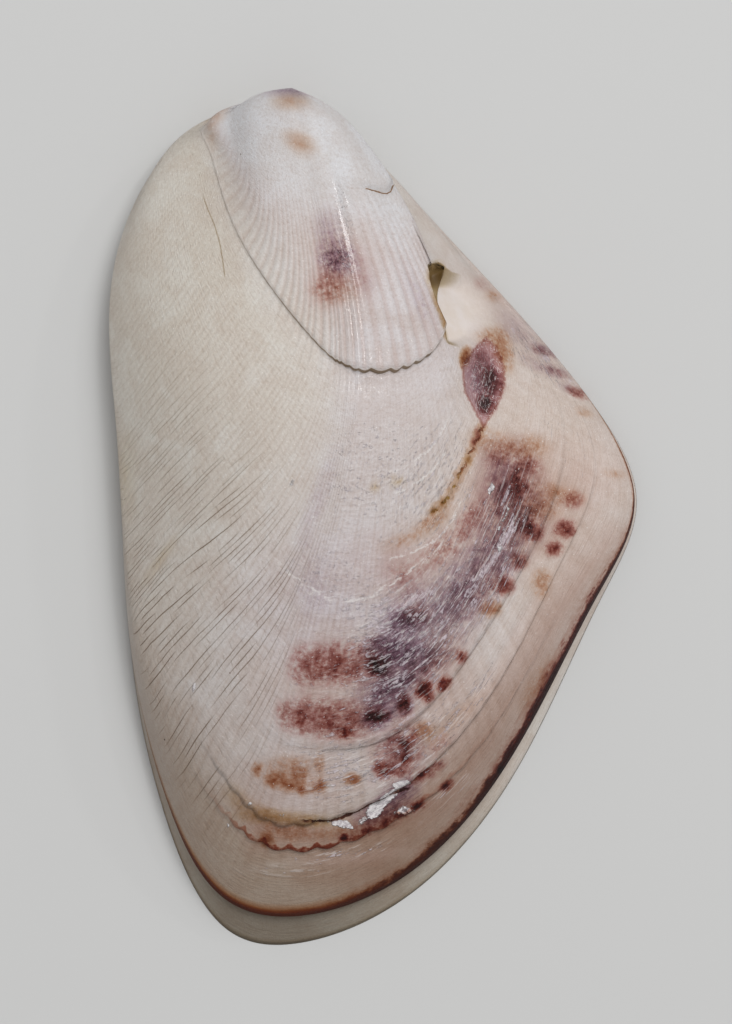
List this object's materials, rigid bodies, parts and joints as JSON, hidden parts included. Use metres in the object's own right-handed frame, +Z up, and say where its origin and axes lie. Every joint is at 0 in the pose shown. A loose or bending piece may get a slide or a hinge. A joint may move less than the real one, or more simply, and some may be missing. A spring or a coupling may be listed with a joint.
{
  "type": "mussel shell",
  "caption": "Valve of a small ribbed mussel: domed outside with fine radiating ribs and growth ledges, hollow and smooth underneath, lying on its flat rim.",
  "frame": {"origin": "middle of the bounding box seen from above, on the plane of the rim", "axes": "+Z up out of the domed side, +Y towards the beak, +X towards the corner of the hinge margin"},
  "size_m": [0.022, 0.0358, 0.0071],
  "materials": {
    "shell": "satin shell"
  },
  "bodies": {
    "root": {"mussel_valve": "shell"}
  },
  "joints": []
}
